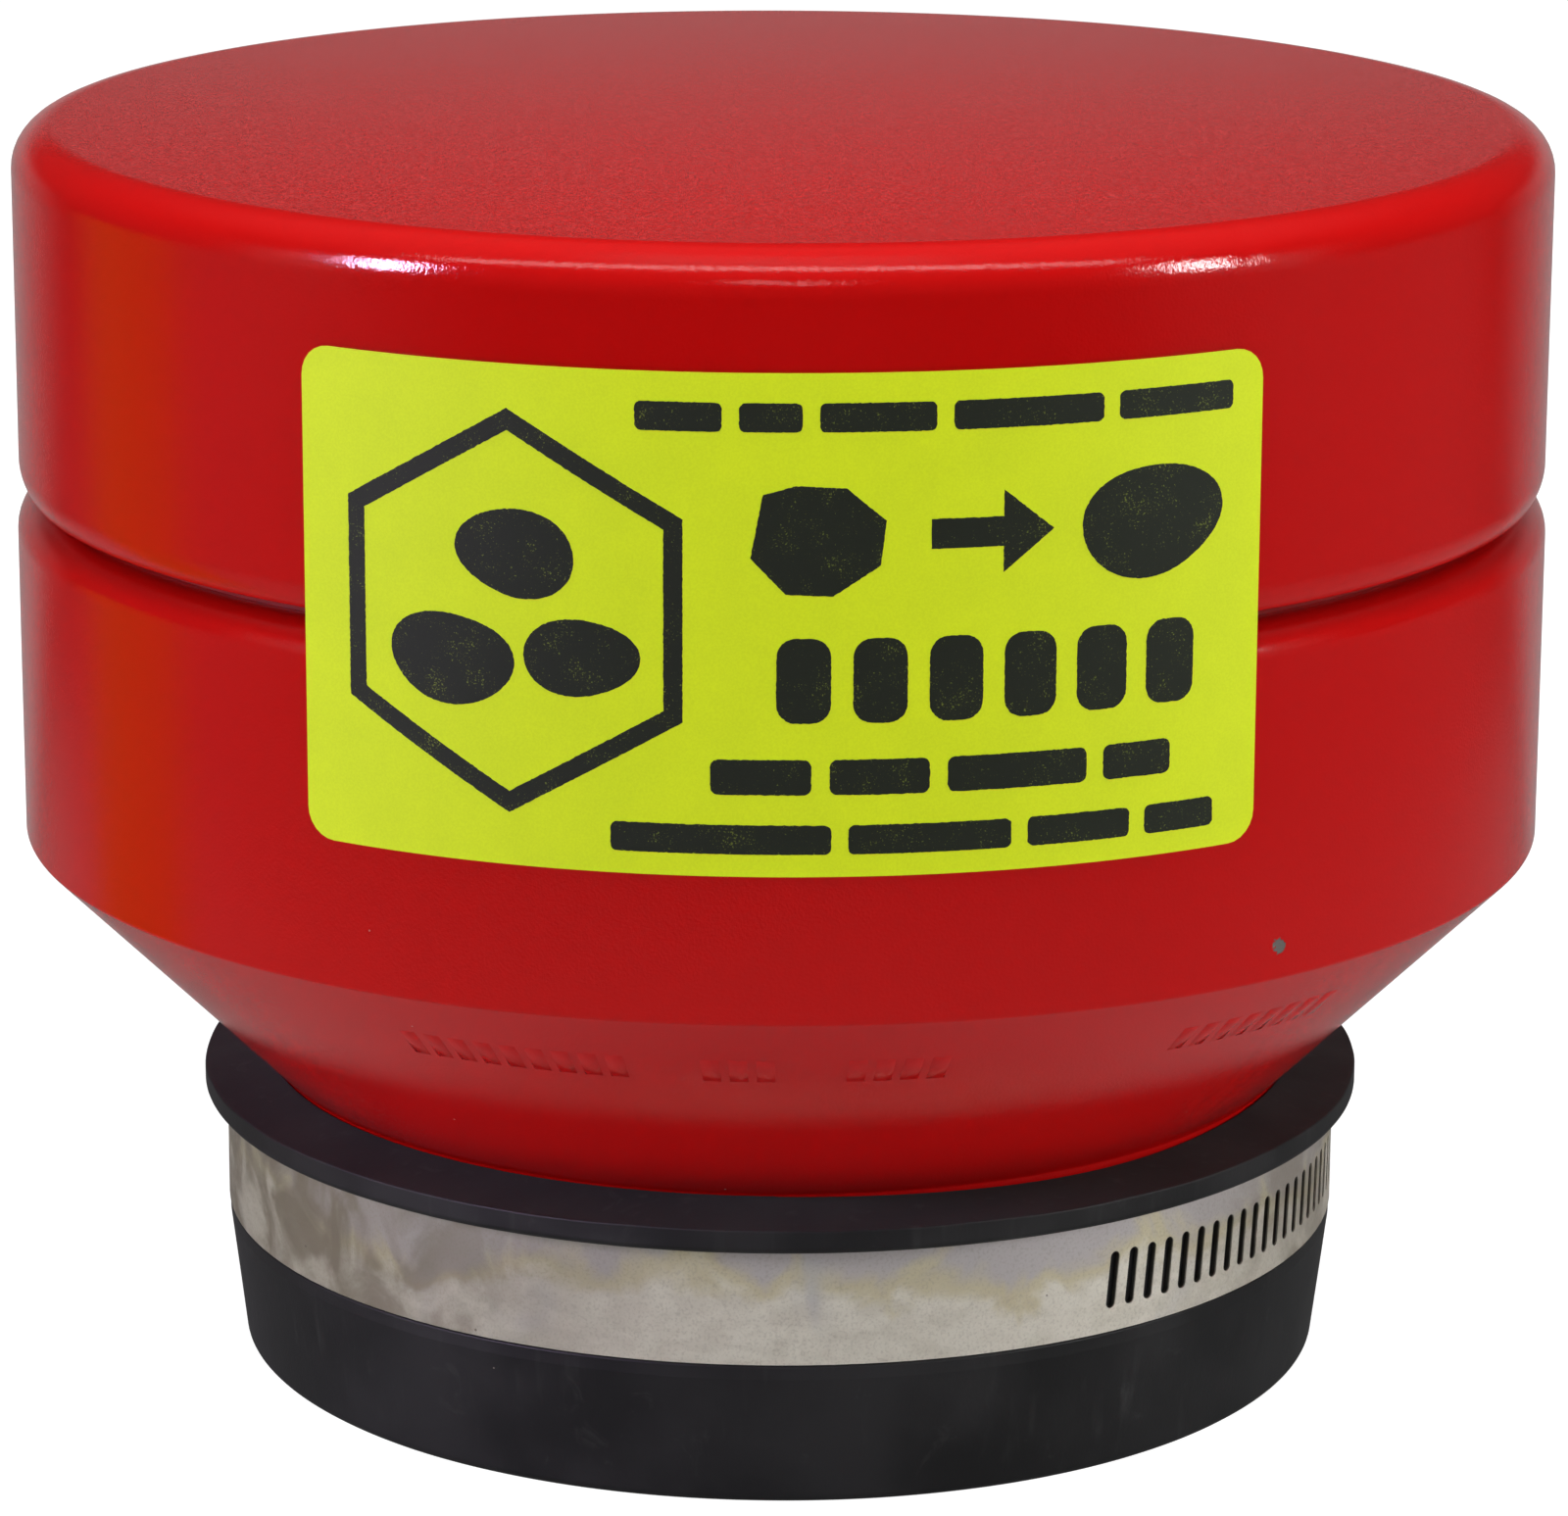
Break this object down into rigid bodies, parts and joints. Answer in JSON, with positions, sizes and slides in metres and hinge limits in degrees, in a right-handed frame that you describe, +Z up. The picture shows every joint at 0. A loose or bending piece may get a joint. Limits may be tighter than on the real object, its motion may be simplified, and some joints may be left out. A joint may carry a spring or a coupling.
{
  "type": "rock tumbler barrel",
  "caption": "Rock tumbler barrel: a cemented plastic drum with a wide capped end, cone and neck, closed by a rubber lid and a worm-drive clamp, standing mouth down.",
  "frame": {"origin": "centre of the rubber lid's flat underside, which the barrel stands on", "axes": "+Z up along the drum's axis, from the lid to the closed end; -Y is the front, where the label is"},
  "size_m": [0.1686, 0.1687, 0.1382],
  "materials": {
    "red_paint": "glossy red spray paint on plastic",
    "bare_plastic": "satin off-white plastic",
    "label_stock": "matte printed paper",
    "black_rubber": "satin moulded rubber",
    "stainless": "mill finish, mottled",
    "screw_steel": "satin"
  },
  "bodies": {
    "lid": {"rubber_cap": "black_rubber", "clamp_band": "stainless"},
    "barrel": {"end_cap": "red_paint", "drum_pipe": "red_paint", "reducer": "red_paint", "label": "label_stock", "lifter_bar_1": "bare_plastic", "lifter_bar_2": "bare_plastic", "lifter_bar_3": "bare_plastic", "lifter_bar_4": "bare_plastic"},
    "clamp_housing": {"clamp_housing": "stainless", "clamp_saddle": "stainless"},
    "clamp_screw": {"clamp_screw": "screw_steel"}
  },
  "joints": [
    {"name": "barrel_lift", "type": "slide", "parent": "lid", "child": "barrel", "axis": [0, 0, 1], "range_m": [0, 0.06]},
    {"name": "housing_crawl", "type": "hinge", "parent": "lid", "child": "clamp_housing", "pos_m": [0, 0, 0.02185], "axis": [0, 0, 1], "range_deg": [0, 9.14]},
    {"name": "screw_turn", "type": "hinge", "parent": "clamp_housing", "child": "clamp_screw", "pos_m": [0.04431, 0.05145, 0.02185], "axis": [-0.7577, 0.6526, 0], "range_deg": [0, 1440]}
  ],
  "couplings": [
    {"joint": "housing_crawl", "follows": "screw_turn", "ratio": 0.0063412}
  ]
}
